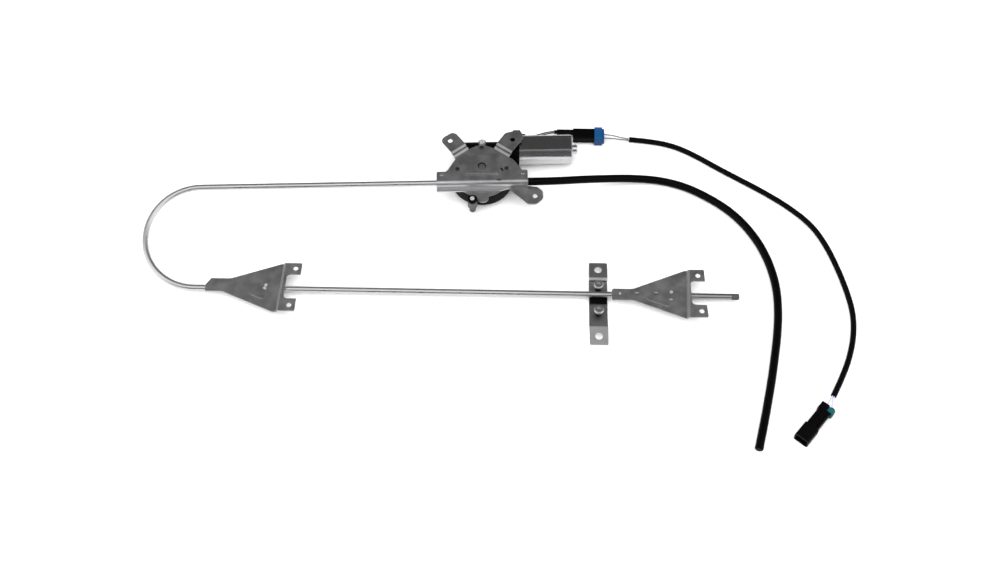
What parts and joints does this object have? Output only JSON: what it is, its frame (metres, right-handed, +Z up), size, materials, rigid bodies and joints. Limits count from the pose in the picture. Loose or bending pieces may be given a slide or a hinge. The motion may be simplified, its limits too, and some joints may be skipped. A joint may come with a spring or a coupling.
{
  "type": "window regulator",
  "caption": "Power window regulator: worm-geared motor drives a helical rack cable in a J-shaped guide tube that carries a lift plate, with wiring harness.",
  "frame": {"origin": "middle of the regulator without its cords, on the surface it lies on", "axes": "+X along the lower guide run away from the bend, +Y from the lift plate towards the drive, +Z up from the surface"},
  "size_m": [0.9342, 0.4795, 0.0445],
  "materials": {
    "black_plastic": "glass-filled black plastic",
    "black_rubber": "soft black rubber",
    "blue_plastic": "blue plastic",
    "bronze": "oil-filled bronze",
    "brown_plastic": "phenolic card",
    "cable_steel": "greased steel wire",
    "can_steel": "plated motor case",
    "carbon": "carbon brush",
    "copper": "copper",
    "core_steel": "laminated core steel",
    "ferrite": "ferrite magnet",
    "gear_steel": "machined steel",
    "grey_plastic": "dark grey plastic",
    "grey_wire": "grey wire insulation",
    "hose_plastic": "smooth black tube",
    "nylon": "natural nylon",
    "pale_wire": "pale wire insulation",
    "screw_steel": "plated fastener",
    "sleeve_fabric": "black woven sleeve",
    "teal_plastic": "teal plastic",
    "tube_steel": "plated steel tube, satin",
    "zinc_steel": "galvanised sheet, dull with fine grain"
  },
  "bodies": {
    "frame": {"guide_tube": "tube_steel", "tube_end_plug": "black_plastic", "rack_cable": "cable_steel", "left_bracket": "zinc_steel", "right_bracket": "zinc_steel", "bracket_welds": "zinc_steel", "drive_plate": "zinc_steel", "lower_arm": "zinc_steel", "clamp_straps": "zinc_steel", "clamp_rivets": "screw_steel", "cable_guide": "nylon", "plate_screws": "screw_steel", "gear_housing": "black_plastic", "housing_cover": "zinc_steel", "cover_screws": "screw_steel", "front_bushing": "screw_steel", "shaft_seal": "black_rubber", "gear_axle": "screw_steel", "motor_can": "can_steel", "magnets": "ferrite", "brush_card": "brown_plastic", "brushes": "carbon", "worm_end_bearing": "bronze", "front_bearing": "bronze", "rear_bearing": "bronze", "thrust_pad": "nylon", "wire_grommet": "black_rubber", "spare_tube_sleeve": "tube_steel", "spare_tube": "hose_plastic", "spare_tube_cap": "hose_plastic", "motor_connector": "grey_plastic", "harness_connector": "black_plastic", "harness_connector_seal": "blue_plastic", "pigtail_wire_a": "grey_wire", "pigtail_wire_b": "grey_wire", "harness_wire_a": "grey_wire", "harness_wire_b": "grey_wire", "harness_sleeve": "sleeve_fabric", "end_wires": "pale_wire", "end_connector": "grey_plastic", "end_connector_seal": "teal_plastic", "end_terminals": "copper"},
    "armature": {"armature_shaft": "gear_steel", "armature_core": "core_steel", "armature_windings": "copper", "commutator": "copper"},
    "drive_gear": {"worm_wheel": "nylon", "wheel_damper": "black_rubber", "output_pinion": "gear_steel"},
    "carriage": {"lift_plate": "zinc_steel", "slide_shoe": "black_plastic", "cable_ferrule": "screw_steel", "stud_spacers": "black_plastic", "carriage_studs": "screw_steel"}
  },
  "joints": [
    {"name": "motor_spin", "type": "hinge", "parent": "frame", "child": "armature", "pos_m": [0.05203, 0.12996, 0.02], "axis": [0.9991, 0.0419, 0], "range_deg": [0, 59130]},
    {"name": "gear_spin", "type": "hinge", "parent": "frame", "child": "drive_gear", "pos_m": [0.0537, 0.09, 0.02], "axis": [0, 0, 1], "range_deg": [-0.1, 1095.1]},
    {"name": "lift_slide", "type": "slide", "parent": "frame", "child": "carriage", "axis": [-1, 0, 0], "range_m": [-0.00005, 0.36505], "deforming": ["rack_cable"]}
  ],
  "couplings": [
    {"joint": "gear_spin", "follows": "motor_spin", "ratio": 0.018519},
    {"joint": "lift_slide", "follows": "motor_spin", "m_per_rad": 0.00035368}
  ]
}
